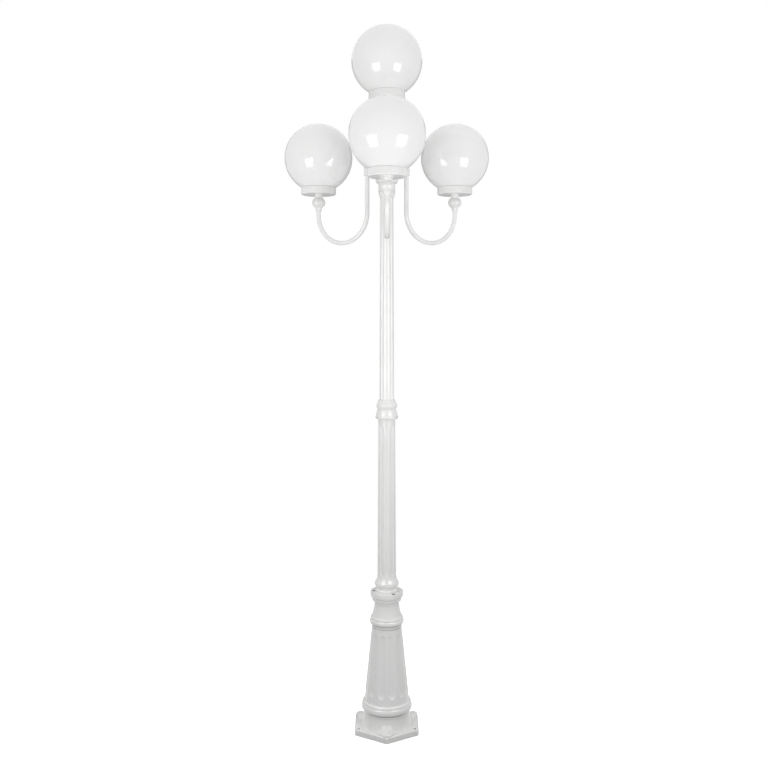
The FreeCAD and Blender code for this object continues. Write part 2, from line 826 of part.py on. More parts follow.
def limb_path():
    """Middle line of a hub limb along +X: out from the axis, then down to the arm's socket."""
    bend_end = FreeCAD.Vector(arm_root_radius, 0, limb_level - limb_bend)
    bend_start = FreeCAD.Vector(arm_root_radius - limb_bend, 0, limb_level)
    diagonal = limb_bend * (1 - math.sqrt(0.5))
    bend_middle = FreeCAD.Vector(arm_root_radius - diagonal, 0, limb_level - diagonal)
    return Part.Wire([Part.makeLine(vector(0, limb_level), bend_start),
                      Part.Arc(bend_start, bend_middle, bend_end).toShape(),
                      Part.makeLine(bend_end, FreeCAD.Vector(arm_root_radius, 0, limb_mouth))])


def arm_hub():
    """Hollow drum on a spigot with three elbow limbs for the arms and a boss for the riser."""
    drum_top = hub_base + hub_drum_height
    dome_top = drum_top + hub_dome_height
    boss_top = dome_top + hub_boss_height
    plug = upper_shaft_bore - slip_gap
    skirt_top = hub_base + hub_skirt_height
    spigot_end = hub_base - hub_spigot_length
    outside = turned((0, spigot_end), (plug, spigot_end), (plug, hub_base),
                     (hub_skirt_bottom_radius, hub_base), (hub_skirt_radius, hub_base + hub_skirt_turn),
                     (hub_skirt_radius, skirt_top), (hub_waist_radius, skirt_top + hub_waist_rise),
                     (hub_waist_radius, drum_top), (hub_boss_radius, dome_top, hub_dome_swell),
                     (hub_boss_radius, boss_top), (0, boss_top))
    chamber_radius = hub_waist_radius - hub_wall
    chamber_top = drum_top - hub_roof
    chamber_floor = hub_base + hub_floor_height
    tube_fit = arm_tube_radius + slip_gap
    inside = turned((0, spigot_end), (spigot_bore, spigot_end),
                    (spigot_bore, chamber_floor), (chamber_radius, chamber_floor + hub_floor_slope),
                    (chamber_radius, chamber_top), (arm_tube_bore, chamber_top),
                    (arm_tube_bore, riser_seat), (tube_fit, riser_seat), (tube_fit, boss_top), (0, boss_top))
    limb = tube_along(limb_path(), limb_radius)
    bore = tube_along(limb_path(), limb_bore)
    mouth = FreeCAD.Vector(arm_root_radius, 0, limb_mouth)
    socket = Part.makeCylinder(tube_fit, limb_socket_depth, mouth)
    grub = rod(arm_grub_radius + thread_gap, mouth + up * arm_grub_height,
               mouth + FreeCAD.Vector(2 * limb_radius, 0, arm_grub_height))
    solid = outside
    for angle in arm_angles.values():
        solid = solid.fuse(placed(limb, 0, 0, angle))
    solid = solid.removeSplitter().cut(inside)
    for angle in arm_angles.values():
        solid = solid.cut([placed(tool, 0, 0, angle) for tool in (bore, socket, grub)])
    level = riser_grub_level()
    end = vector(2 * hub_boss_radius, level, grub_angles[-1])
    return solid.cut(rod(arm_grub_radius + thread_gap, vector(0, level), end))


def riser_grub_level():
    """Height of the grub screw in the riser's boss, half way up its socket."""
    return riser_seat + riser_socket_depth / 2


def arm_grub_screws():
    """One grub screw in each limb's socket and one in the riser's boss."""
    inner = arm_tube_radius + slip_gap
    limb_outer = limb_radius - arm_grub_sink
    boss_outer = hub_boss_radius - arm_grub_sink
    level = limb_mouth + arm_grub_height
    screws = []
    for angle in arm_angles.values():
        screws.append(grub_screw(arm_grub_radius, arm_root_radius + inner, arm_root_radius + limb_outer,
                                 level, angle))
    screws.append(grub_screw(arm_grub_radius, inner, boss_outer, riser_grub_level(), grub_angles[-1]))
    return screws


# Arms and riser

def arm_path():
    """Middle line of an arm along +X: down from the hub, round a half circle and up to the lamp."""
    root = FreeCAD.Vector(arm_root_radius, 0, limb_mouth + limb_socket_depth)
    inner = FreeCAD.Vector(arm_root_radius, 0, arm_bend_level)
    bottom = FreeCAD.Vector(arm_root_radius + arm_bend_radius, 0, arm_bend_level - arm_bend_radius)
    outer = FreeCAD.Vector(arm_lamp_radius, 0, arm_bend_level)
    tip = FreeCAD.Vector(arm_lamp_radius, 0, arm_bend_level + arm_outer_leg)
    return Part.Wire([Part.makeLine(root, inner), Part.Arc(inner, bottom, outer).toShape(),
                      Part.makeLine(outer, tip)])


def arm():
    """Hooped tube."""
    return tube_along(arm_path(), arm_tube_radius).cut(tube_along(arm_path(), arm_tube_bore))


def riser_tube():
    """Straight tube from the hub to the top lamp."""
    top = riser_seat + riser_length
    return turned((arm_tube_bore, riser_seat), (arm_tube_radius, riser_seat),
                  (arm_tube_radius, top), (arm_tube_bore, top))


# Lamp heads, each made with its gallery's underside at the origin

holder_bottom = gallery_floor + locknut_thickness
holder_top = holder_bottom + holder_base_height + holder_chamber_height + holder_bridge + holder_socket_depth
cap_bottom = holder_top - holder_socket_depth
globe_shoulder = math.sqrt(globe_radius ** 2 - globe_neck_radius ** 2)
neck_bottom = gallery_floor + gasket_thickness + seat_gap
globe_centre = neck_bottom + globe_neck_length + globe_shoulder
gallery_bore = gallery_radius - gallery_wall
gallery_rim = globe_centre - math.sqrt(globe_radius ** 2 - gallery_bore ** 2) - seat_gap
lug_bottom = neck_bottom + lug_height
hook_bottom = lug_bottom + lug_thickness + seat_gap


def knob():
    """Turned knob: a cone over the tube's end, a flattened ball and a neck under the gallery."""
    bottom = -knob_height
    ball_bottom = bottom + knob_cone_height
    ball_top = ball_bottom + knob_ball_height
    swell = knob_ball_radius - (knob_cone_radius + knob_neck_radius) / 2
    socket = arm_tube_radius + slip_gap
    thread = nipple_radius + thread_gap
    tube_end = bottom + knob_socket_depth
    return turned((socket, bottom), (knob_mouth_radius, bottom),
                  (knob_cone_radius, ball_bottom, -knob_cone_cove), (knob_neck_radius, ball_top, swell),
                  (knob_neck_radius, 0), (thread, 0), (thread, -nipple_bite),
                  (knob_passage, -nipple_bite), (knob_passage, tube_end), (socket, tube_end))


def nipple():
    """Hollow threaded rod through the gallery's floor."""
    top = holder_bottom + nipple_holder_bite
    return turned((nipple_bore, -nipple_bite), (nipple_radius, -nipple_bite),
                  (nipple_radius, top), (nipple_bore, top))


def locknut():
    """Hexagon nut that holds the gallery down on the knob."""
    nut = hexagon(locknut_flats, locknut_thickness)
    nut.translate(up * gallery_floor)
    return nut.cut(Part.makeCylinder(nipple_radius + thread_gap, holder_bottom))


def lock_ring(inner, outer, bottom, top, start, sweep):
    """Equal ring sectors, one for each lock, starting at an angle."""
    sector = turned((inner, bottom), (outer, bottom), (outer, top), (inner, top), sweep=sweep)
    return [placed(sector, 0, 0, start + full_turn * i / lock_count) for i in range(lock_count)]


def gallery():
    """Shallow cup with inward hooks and stops for the globe's lugs."""
    hole = nipple_radius + slip_gap
    quarter = gallery_edge_round * math.sqrt(0.5)
    centre = gallery_radius - gallery_edge_round
    solid = turned((hole, 0), (centre, 0),
                   (gallery_radius, gallery_edge_round, (centre + quarter, gallery_edge_round - quarter)),
                   (gallery_radius, gallery_rim), (gallery_bore, gallery_rim),
                   (gallery_bore, gallery_floor), (hole, gallery_floor))
    wall_middle = gallery_bore + gallery_wall / 2
    hook_inner = gallery_bore - hook_reach
    hooks = lock_ring(hook_inner, wall_middle, hook_bottom, hook_bottom + hook_thickness,
                      -stop_angle, stop_angle + hook_angle)
    stops = lock_ring(hook_inner, wall_middle, lug_bottom, hook_bottom, -stop_angle, stop_angle)
    return solid.fuse(hooks + stops).removeSplitter()


def gasket():
    """Flat ring on the gallery's floor under the globe's neck."""
    middle = globe_neck_radius - globe_wall / 2
    inner = middle - gasket_width / 2
    outer = middle + gasket_width / 2
    top = gallery_floor + gasket_thickness
    return turned((inner, gallery_floor), (outer, gallery_floor), (outer, top), (inner, top))


def ball_point(radius, angle):
    """Point on a ball about the globe's centre, at an angle above its equator."""
    turn = math.radians(angle)
    return radius * math.cos(turn), globe_centre + radius * math.sin(turn)


def globe():
    """Thin-walled ball with a short neck and three lugs."""
    inner_radius = globe_radius - globe_wall
    neck_inner = globe_neck_radius - globe_wall
    inner_shoulder = math.sqrt(inner_radius ** 2 - neck_inner ** 2)
    outer_middle = (90 - math.degrees(math.asin(globe_shoulder / globe_radius))) / 2
    inner_middle = (90 - math.degrees(math.asin(inner_shoulder / inner_radius))) / 2
    solid = turned((neck_inner, neck_bottom), (globe_neck_radius, neck_bottom),
                   (globe_neck_radius, globe_centre - globe_shoulder),
                   (0, globe_centre + globe_radius, ball_point(globe_radius, outer_middle)),
                   (0, globe_centre + inner_radius),
                   (neck_inner, globe_centre - inner_shoulder, ball_point(inner_radius, inner_middle)))
    wall_middle = globe_neck_radius - globe_wall / 2
    lugs = lock_ring(wall_middle, gallery_bore - seat_gap, lug_bottom, lug_bottom + lug_thickness,
                     lug_play_angle, lug_angle)
    return solid.fuse(lugs).removeSplitter()


def lampholder():
    """Screw lampholder: wiring chamber below, contact bridge, and a socket for the lamp's cap."""
    chamber_bottom = holder_bottom + holder_base_height
    chamber_top = chamber_bottom + holder_chamber_height
    thread = nipple_radius + thread_gap
    socket = cap_radius + slip_gap
    return turned((0, chamber_top), (holder_chamber_radius, chamber_top),
                  (holder_chamber_radius, chamber_bottom), (thread, chamber_bottom),
                  (thread, holder_bottom), (holder_base_radius, holder_bottom),
                  (holder_base_radius, chamber_bottom), (holder_radius, holder_bottom + holder_shoulder),
                  (holder_radius, holder_top), (socket, holder_top), (socket, cap_bottom), (0, cap_bottom))


def lamp_cap():
    """Metal screw cap with its centre contact on the holder's bridge."""
    contact_top = cap_bottom + cap_contact_height
    shell_bottom = contact_top + cap_insulator_height
    shell_top = holder_top + cap_stand
    return turned((0, cap_bottom), (cap_contact_radius, cap_bottom), (cap_contact_radius, contact_top),
                  (cap_radius, shell_bottom), (cap_radius, shell_top), (0, shell_top))


def lamp_bulb():
    """Pear-shaped lamp standing on its cap."""
    bottom = holder_top + cap_stand
    flare = bottom + bulb_neck_height
    equator = flare + bulb_flare_height
    crown = bulb_radius * math.sqrt(0.5)
    return turned((0, bottom), (bulb_neck_radius, bottom), (bulb_neck_radius, flare),
                  (bulb_radius, equator, bulb_flare_cove),
                  (0, equator + bulb_radius, (crown, equator + crown)))


# Lamp cables, each from its lampholder's chamber down to the terminal block

block_top = block_centre_height + block_height / 2
cable_rise = holder_bottom + holder_base_height + holder_chamber_height


def arm_cable_path():
    """Route along +X: down through the lamp head, round the arm, over the limb and down the post."""
    tip = FreeCAD.Vector(arm_lamp_radius, 0, arm_gallery + cable_rise)
    outer = FreeCAD.Vector(arm_lamp_radius, 0, arm_bend_level)
    hoop = FreeCAD.Vector(arm_root_radius + arm_bend_radius, 0, arm_bend_level - arm_bend_radius)
    inner = FreeCAD.Vector(arm_root_radius, 0, arm_bend_level)
    diagonal = limb_bend * (1 - math.sqrt(0.5))
    elbow_start = FreeCAD.Vector(arm_root_radius, 0, limb_level - limb_bend)
    elbow = FreeCAD.Vector(arm_root_radius - diagonal, 0, limb_level - diagonal)
    elbow_end = FreeCAD.Vector(arm_root_radius - limb_bend, 0, limb_level)
    drop_start = FreeCAD.Vector(cable_circle_radius + limb_bend, 0, limb_level)
    drop = FreeCAD.Vector(cable_circle_radius + diagonal, 0, limb_level - diagonal)
    drop_end = FreeCAD.Vector(cable_circle_radius, 0, limb_level - limb_bend)
    end = FreeCAD.Vector(cable_circle_radius, 0, block_top)
    return Part.Wire([Part.makeLine(tip, outer), Part.Arc(outer, hoop, inner).toShape(),
                      Part.makeLine(inner, elbow_start), Part.Arc(elbow_start, elbow, elbow_end).toShape(),
                      Part.makeLine(elbow_end, drop_start), Part.Arc(drop_start, drop, drop_end).toShape(),
                      Part.makeLine(drop_end, end)])


def top_cable_path():
    """Straight route down the post's axis from the top lamp."""
    return Part.Wire([Part.makeLine(vector(0, top_gallery + cable_rise), vector(0, block_top))])


def cable(path, name):
    """Round cable along a path, with its volume set against its section and length."""
    solid = tube_along(path, cable_radius)
    expected = math.pi * cable_radius ** 2 * path.Length
    share = round(solid.Volume / expected, 4)
    print("cable", name, "length", round(path.Length, 1), "volume share", share)
    return solid


def write(name, shapes):
    """Write one node, a single solid or a group of separate solids."""
    solids = shapes if isinstance(shapes, list) else [shapes]
    for solid in solids:
        if not solid.isValid() or len(solid.Solids) != 1:
            print("check", name, "valid", solid.isValid(), "solids", len(solid.Solids))
    solids = [solid.Solids[0] for solid in solids]
    shape = solids[0] if len(solids) == 1 else Part.makeCompound(solids)
    shape.exportStep("parts/" + name + ".step")


os.makedirs("parts", exist_ok=True)
single_pieces = (foot, foot_screws, pedestal, terminal_block, terminal_screws, earth_screw,
                 clamp_ring, clamp_screws, shaft_flange, lower_shaft, joint_spigot, joint_collar,
                 joint_grub_screws, upper_shaft, top_ferrule, ferrule_grub_screws, arm_hub,
                 arm_grub_screws, riser_tube)
for piece in single_pieces:
    write(piece.__name__, piece())
for name, angle in arm_angles.items():
    write("arm_" + name, placed(arm(), 0, 0, angle))
    write("lamp_cable_" + name, placed(cable(arm_cable_path(), name), 0, 0, angle))
write("lamp_cable_top", cable(top_cable_path(), "top"))
for piece in (knob, gallery, gasket, globe, lampholder, lamp_cap, lamp_bulb):
    shape = piece()
    for name, place in lamp_places.items():
        write(piece.__name__ + "_" + name, placed(shape, *place))
write("nipples", [placed(nipple(), *place) for place in lamp_places.values()])
write("locknuts", [placed(locknut(), *place) for place in lamp_places.values()])
print("height", round(top_gallery + globe_centre + globe_radius, 1))
print("lamp level", round(arm_gallery + globe_centre, 1))
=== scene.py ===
# %% [markdown]
# The lamp post arrives as a imported CAD model: every casting, tube, screw and globe is already a mesh
# in its true place, in metres, with +Z up and the front arm along -Y. Nothing here moves those
# meshes. This script gives them their finishes, remakes the foot and the screws, whose flowing and
# fine forms the CAD model only follows, and sets up the studio. Reading the frame first means that
# the finish of each piece and the places of the screws can be taken from it.

import json
import math

import bmesh
import bpy
from mathutils import Matrix, Vector


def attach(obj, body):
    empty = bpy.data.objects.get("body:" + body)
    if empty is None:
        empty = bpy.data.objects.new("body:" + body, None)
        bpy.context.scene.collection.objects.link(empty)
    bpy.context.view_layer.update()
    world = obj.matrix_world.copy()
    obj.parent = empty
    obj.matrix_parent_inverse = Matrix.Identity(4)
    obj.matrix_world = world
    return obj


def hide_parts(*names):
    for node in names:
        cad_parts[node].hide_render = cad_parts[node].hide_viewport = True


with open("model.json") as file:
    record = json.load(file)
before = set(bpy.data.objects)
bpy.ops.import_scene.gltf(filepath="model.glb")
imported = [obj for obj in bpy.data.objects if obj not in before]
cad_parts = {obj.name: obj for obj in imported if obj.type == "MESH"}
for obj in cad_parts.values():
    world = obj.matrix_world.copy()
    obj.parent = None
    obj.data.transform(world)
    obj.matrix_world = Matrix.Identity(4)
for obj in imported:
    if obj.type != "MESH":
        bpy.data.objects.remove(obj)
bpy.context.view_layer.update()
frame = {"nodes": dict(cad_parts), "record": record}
nodes = frame["nodes"]

# %% [markdown]
# The photograph looks at the post from the front, a little above half its height, through a normal
# lens whose frame is shifted down so that the foot and the top globe both fit. Lens, shift and
# place come from the way the four equal globes and the round mouldings foreshorten. A shifted lens
# keeps the post upright, where tilting the camera would make it lean back.

# %% Camera
photo_width = 768
focal_length_pixels = 877.0
principal_row = 334.0
post_axis_column = 386.8
sensor_width = 36.0
camera_distance = 3.116
camera_height = 1.499
camera_pitch_down = math.radians(1.57)

camera = bpy.data.cameras.new("photo_camera")
camera.sensor_width = sensor_width
camera.lens = focal_length_pixels / photo_width * sensor_width
camera.shift_y = (principal_row - photo_width / 2) / photo_width
camera_object = bpy.data.objects.new("photo_camera", camera)
side_step = (post_axis_column - photo_width / 2) / focal_length_pixels * camera_distance
camera_object.location = (-side_step, -camera_distance, camera_height)
camera_object.rotation_euler = (math.pi / 2 - camera_pitch_down, 0, 0)
bpy.context.scene.collection.objects.link(camera_object)
bpy.context.scene.camera = camera_object
bpy.context.scene.view_settings.view_transform = "Standard"
print("lens", round(camera.lens, 2), "mm, shift", round(camera.shift_y, 4))

# %% [markdown]
# Every finish below is a little tree of shader nodes. Wiring them by hand hides the idea behind a
# wall of links, so one small class stands for a socket: adding or multiplying two of them adds the
# Math node that does it, and a finish then reads like the sum it is. Everything that isn't plain
# arithmetic comes from a single method, which takes a node's kind, its settings and its inputs. The
# sockets of the Mix node share their names, so they go by number: its share, its two colours and the
# mixed colour.

# %% Layers of a finish
mix_share = 0
mix_first = 6
mix_second = 7
mixed_colour = 2


class Layer:
    """One output of a node tree, which adds Math nodes when it is used in an expression."""

    def __init__(self, tree, socket=None):
        self.tree = tree
        self.socket = socket

    def node(self, kind, settings, inputs, output=0):
        """Add a node of a kind, with its settings first and then the values or links of its inputs."""
        made = self.tree.nodes.new("ShaderNode" + kind)
        for name, value in settings.items():
            setattr(made, name, value)
        for key, value in inputs.items():
            if isinstance(value, Layer):
                self.tree.links.new(value.socket, made.inputs[key])
            else:
                made.inputs[key].default_value = value
        return Layer(self.tree, made.outputs[output] if made.outputs else None)

    def other(self, output):
        """Another output of the same node."""
        return Layer(self.tree, self.socket.node.outputs[output])

    def math(self, operation, first, second):
        """Result of a Math node on two values or layers."""
        return self.node("Math", {"operation": operation}, {0: first, 1: second})

    def __add__(self, value):
        return self.math("ADD", self, value)

    def __radd__(self, value):
        return self.math("ADD", value, self)

    def __sub__(self, value):
        return self.math("SUBTRACT", self, value)

    def __rsub__(self, value):
        return self.math("SUBTRACT", value, self)

    def __mul__(self, value):
        return self.math("MULTIPLY", self, value)

    def __rmul__(self, value):
        return self.math("MULTIPLY", value, self)

    def step(self, low, high):
        """Smooth step from 0 at a low value to 1 at a high one."""
        return self.node("MapRange", {"interpolation_type": "SMOOTHSTEP"},
                         {"Value": self, "From Min": low, "From Max": high})

    def blend(self, first, second):
        """Colour that goes from the first to the second as this layer goes from 0 to 1."""
        return self.node("Mix", {"data_type": "RGBA"},
                         {mix_share: self, mix_first: first, mix_second: second}, mixed_colour)

    def noise(self, scale, detail=2.0):
        """Soft random pattern over these coordinates, about 1 / scale metres across."""
        return self.node("TexNoise", {}, {"Vector": self, "Scale": scale, "Detail": detail})

    def bump(self, relief, **inputs):
        """Normal of a surface whose height in metres is a layer."""
        return self.node("Bump", {}, {"Height": relief, "Distance": 1.0, **inputs})


def new_finish(name):
    """An empty material, and a layer with the Object coordinates that its patterns follow."""
    material = bpy.data.materials.new(name)
    material.use_nodes = True
    material.node_tree.nodes.clear()
    place = Layer(material.node_tree).node("TexCoord", {}, {}, "Object")
    return material, place


def surface(place, inputs):
    """End a finish with a Principled shader."""
    shader = place.node("BsdfPrincipled", {}, inputs)
    place.node("OutputMaterial", {}, {"Surface": shader})


print("layers ready")

# %% [markdown]
# A studio lamp does two things: it lights the coat, and its face is mirrored in every gloss. Here
# the two are kept apart, so that each can be set by itself. An area lamp that no gloss sees gives the
# light, and a glowing card that only a gloss sees gives the reflection. One lamp for both would be
# simpler, but a reflection as bright as the photograph's would then bleach the coat.

# %% Lamps and cards
def facing_turn(location, target):
    """Turn that points a lamp or a card at a target."""
    return (Vector(target) - Vector(location)).to_track_quat("-Z", "Y")


def add_lamp(name, width, height, power, location, target):
    """Rectangular area lamp that faces a target, out of sight of the camera and of any gloss."""
    lamp = bpy.data.lights.new(name, "AREA")
    lamp.shape = "RECTANGLE"
    lamp.size = width
    lamp.size_y = height
    lamp.energy = power
    lamp_object = bpy.data.objects.new(name, lamp)
    lamp_object.location = location
    lamp_object.rotation_euler = facing_turn(location, target).to_euler()
    lamp_object.visible_camera = False
    lamp_object.visible_glossy = False
    bpy.context.scene.collection.objects.link(lamp_object)


def add_card(name, width, height, strength, location, target):
    """Card with a glow of some strength, which only a gloss can see."""
    sheet = bmesh.new()
    bmesh.ops.create_grid(sheet, x_segments=1, y_segments=1, size=1 / 2)
    bmesh.ops.scale(sheet, vec=(width, height, 1), verts=sheet.verts)
    turn = facing_turn(location, target).to_matrix().to_4x4()
    bmesh.ops.transform(sheet, matrix=Matrix.Translation(location) @ turn, verts=sheet.verts)
    data = bpy.data.meshes.new(name)
    sheet.to_mesh(data)
    sheet.free()
    glow, glow_place = new_finish(name)
    light = glow_place.node("Emission", {}, {"Strength": strength})
    glow_place.node("OutputMaterial", {}, {"Surface": light})
    data.materials.append(glow)
    card = bpy.data.objects.new(name, data)
    card.visible_camera = False
    card.visible_diffuse = False
    card.visible_transmission = False
    card.visible_shadow = False
    bpy.context.scene.collection.objects.link(card)


print("lamps and cards ready")

# %% [markdown]
# The globes in the photograph carry two crisp four-sided reflections, left and right of their
# middles and a little below them. Traced back off the ball, they are two upright softboxes in front
# of the post, lower than the globes. The globes are also bright underneath, where the foot is not, so
# two weak panels stand low in front and look up at the lamps. The room's own light, in the next
# step, does the rest. A wide and dim card stands behind the post. Photographers call it a flag: white
# things on white keep their edges because a gloss that is seen at a slant mirrors the flag.

# %% Studio lights
softbox_width = 0.8
softbox_height = 0.9
softbox_across = 1.0
softbox_before = 1.25
softbox_centre = 1.42
softbox_power = 3.3
card_strength = 6.0
flag_width = 4.0
flag_height = 3.8
flag_behind = 2.6
flag_centre = 1.25
flag_strength = 0.4
panel_width = 1.0
panel_across = 0.92
panel_before = 0.92
panel_centre = 0.6
panel_power = 1.8
panel_aim = (0, 0, 2.2)

for name, side in (("left", -1), ("right", 1)):
    spot = (side * softbox_across, -softbox_before, softbox_centre)
    aim = (0, 0, softbox_centre)
    add_lamp("softbox_" + name, softbox_width, softbox_height, softbox_power, spot, aim)
    add_card("softbox_card_" + name, softbox_width, softbox_height, card_strength, spot, aim)
    spot = (side * panel_across, -panel_before, panel_centre)
    add_lamp("low_panel_" + name, panel_width, panel_width, panel_power, spot, panel_aim)
add_card("flag", flag_width, flag_height, flag_strength, (0, flag_behind, flag_centre), (0, 0, flag_centre))
print("lamps", [lamp.name for lamp in bpy.data.lights])

# %% [markdown]
# The photograph's background is plain white. More light would bleach the post, so the white is put
# in only for rays that are seen: those from the camera, and those that a gloss or a glass passes on.
# All other rays meet a dim room, which is lighter in front, overhead and low down than behind, so that
# the shafts darken towards their sides. Each of these changes is a smooth step over how far a ray
# leans back or climbs, from -1 to 1.

# %% Background
white = (1, 1, 1, 1)
room_light = 0.57
back_shade = 0.24
back_lean = (-0.7, 0.7)
ceiling_light = 1.15
ceiling_climb = (0.6, 1.0)
low_light = 0.55
low_climb = (-0.4, 0.1)


def seen_rays(tree_layer):
    """1 for rays from the camera, a gloss or a glass, 0 for the rest."""
    camera_ray = tree_layer.node("LightPath", {}, {}, "Is Camera Ray")
    mirrored = camera_ray.math("MAXIMUM", camera_ray.other("Is Glossy Ray"),
                               camera_ray.other("Is Transmission Ray"))
    return camera_ray.math("MAXIMUM", camera_ray, mirrored)


world = bpy.data.worlds.new("studio_room")
world.use_nodes = True
world.node_tree.nodes.clear()
room = Layer(world.node_tree)
ray = room.node("TexCoord", {}, {}, "Generated")
climb = ray.node("SeparateXYZ", {}, {"Vector": ray}, "Z")
around = room_light - climb.other("Y").step(*back_lean) * back_shade
above = climb.step(*ceiling_climb) * ceiling_light
below = (1 - climb.step(*low_climb)) * low_light
unseen = around + above + below
looked_at = seen_rays(room)
room_strength = unseen + looked_at * (1 - unseen)
room_shader = room.node("Background", {}, {"Color": white, "Strength": room_strength})
room.node("OutputWorld", {}, {"Surface": room_shader})
bpy.context.scene.world = world
print("world nodes", len(world.node_tree.nodes))

# %% [markdown]
# The post stands on a white floor that runs into the white background. Further out the floor only
# glows white for rays that are seen. Close to the foot it is a real matt floor with the missing light
# added, so that the post still throws its soft shadow, where a floor that only glows would leave the
# post afloat. All other rays meet a darker matt floor, which doesn't light the foot too much.

# %% Floor
floor_radius = 1.7
floor_segments = 96
floor_colour = (0.9, 0.9, 0.9, 1)
floor_bounce = (0.22, 0.22, 0.22, 1)
floor_fill = 0.5
far_glow = 1.0
shadow_near = 0.35
shadow_far = 1.5

floor_mesh = bmesh.new()
bmesh.ops.create_circle(floor_mesh, cap_ends=True, segments=floor_segments, radius=floor_radius)
floor_data = bpy.data.meshes.new("studio_floor")
floor_mesh.to_mesh(floor_data)
floor_mesh.free()
floor = bpy.data.objects.new("studio_floor", floor_data)
bpy.context.scene.collection.objects.link(floor)
floor_finish, floor_place = new_finish("studio_floor")
seen = seen_rays(floor_place)
distance = floor_place.node("VectorMath", {"operation": "LENGTH"}, {0: floor_place}, "Value")
matt = floor_place.node("BsdfDiffuse", {}, {"Color": seen.blend(floor_bounce, floor_colour)})
fill = floor_place.node("Emission", {}, {"Color": white, "Strength": seen * floor_fill})
near_floor = floor_place.node("AddShader", {}, {0: matt, 1: fill})
far_floor = floor_place.node("Emission", {}, {"Color": white, "Strength": far_glow})
far_share = seen * distance.step(shadow_near, shadow_far)
floor_shader = floor_place.node("MixShader", {}, {0: far_share, 1: near_floor, 2: far_floor})
floor_place.node("OutputMaterial", {}, {"Surface": floor_shader})
floor_data.materials.append(floor_finish)
print("floor radius", floor_radius)

# %% [markdown]
# The post is white powder coat on cast and drawn aluminium. Seen close, such a coat is not a flat
# white: it has the fine dimples called orange peel, a slow waviness from the casting under it, edges
# that the coat rounds off, and a little grey dust where a cloth doesn't reach. Dimples and
# waviness are heights for a bump, and the rounded edge comes from the Bevel node. Recesses are
# found by how much of the sky a point sees. There the grey, laid in patches, stands for dust and also
# paints the shade that falls in them. A noise's scale is about the number of its patches in a
# metre, and a band is the part of a pattern's range over which an effect sets in.

# %% Powder coat
cast_white = (0.83, 0.83, 0.825, 1)
fine_white = (0.9, 0.9, 0.895, 1)
coat_shade = (0.775, 0.775, 0.765, 1)
# Grey of dust, and of the painted shade in recesses.
dust_and_shade_grey = (0.5, 0.485, 0.455, 1)
tone_scale = 6.0
tone_band = (0.35, 0.75)
tone_blur = 0.08
stain_scale = 55.0
recess_reach = 0.012
recess_band = (0.3, 0.95)
recess_stain_band = (0.3, 0.6)
# How far recesses are greyed, with dust and painted shade together.
recess_dust_and_shade = 0.5
splash_height = 0.07
splash_stain_band = (0.48, 0.75)
splash_dust = 0.3
dust_blur = 0.4
peel_scale = 420.0
wave_scale = 34.0
turning_scale = 160.0
turning_wander = 0.6
edge_round = 0.0007
clear_share = 0.2
clear_blur = 0.12


def powder_coat(name, white_paint, gloss_blur, peel_depth, wave_depth, turned_depth=0.0):
    """White coat. Depths in metres are those of its dimples, its casting and its turning lines."""
    material, place = new_finish(name)
    height = place.node("SeparateXYZ", {}, {"Vector": place}, "Z")
    tone = place.noise(tone_scale, detail=4.0)
    stain = place.noise(stain_scale, detail=5.0)
    open_sky = place.node("AmbientOcclusion", {"samples": 6}, {"Distance": recess_reach}, "AO")
    # Painted shade: recesses that see little sky are greyed in patches, as dust and shade at once.
    recess_dust_and_shade_mask = (1 - open_sky).step(*recess_band) * stain.step(*recess_stain_band)
    splash = (1 - height.step(0.0, splash_height)) * stain.step(*splash_stain_band)
    dust_and_shade = recess_dust_and_shade_mask * recess_dust_and_shade + splash * splash_dust
    paint = tone.step(*tone_band).blend(white_paint, coat_shade)
    relief = place.noise(peel_scale, detail=1.0) * peel_depth + place.noise(wave_scale) * wave_depth
    if turned_depth:
        lines = place.node("TexWave", {"bands_direction": "Z"},
                           {"Vector": place, "Scale": turning_scale, "Distortion": turning_wander})
        relief = relief + lines * turned_depth
    soft_edge = place.node("Bevel", {"samples": 4}, {"Radius": edge_round})
    surface(place, {"Base Color": dust_and_shade.blend(paint, dust_and_shade_grey),
                    "Roughness": gloss_blur + tone * tone_blur + dust_and_shade * dust_blur,
                    "Normal": place.bump(relief, Normal=soft_edge),
                    "Coat Weight": clear_share, "Coat Roughness": clear_blur})
    return material


coats = {
    "white_casting": dict(white_paint=cast_white, gloss_blur=0.17, peel_depth=0.000012, wave_depth=0.00012),
    "white_tube": dict(white_paint=fine_white, gloss_blur=0.14, peel_depth=0.00001, wave_depth=0.00003),
    "white_spun": dict(white_paint=fine_white, gloss_blur=0.13, peel_depth=0.00001, wave_depth=0.00003,
                       turned_depth=0.00001),
}
finishes = {name: powder_coat(name, **looks) for name, looks in coats.items()}
print("coats", sorted(finishes))

# %% [markdown]
# The globes are opal acrylic: white all through, glossy outside and slightly translucent, which
# softens the change from light to shade. Subsurface light does that without making the lamp inside
# visible. A thin film of dust lies where the ball faces up, and shows as less gloss.

# %% Opal globes
opal_white = (0.915, 0.915, 0.911, 1)
opal_milk = (0.895, 0.895, 0.891, 1)
film_grey = (0.74, 0.73, 0.71, 1)
opal_blur = 0.008
milk_scale = 9.0
milk_band = (0.3, 0.7)
milk_blur = 0.008
film_slope = (0.55, 1.0)
film_scale = 140.0
film_band = (0.35, 0.75)
film_cover = 0.2
film_blur = 0.2
ripple_scale = 14.0
ripple_depth = 0.00001
glow_share = 0.15
glow_tint = (1, 1, 0.95)
glow_reach = 0.004

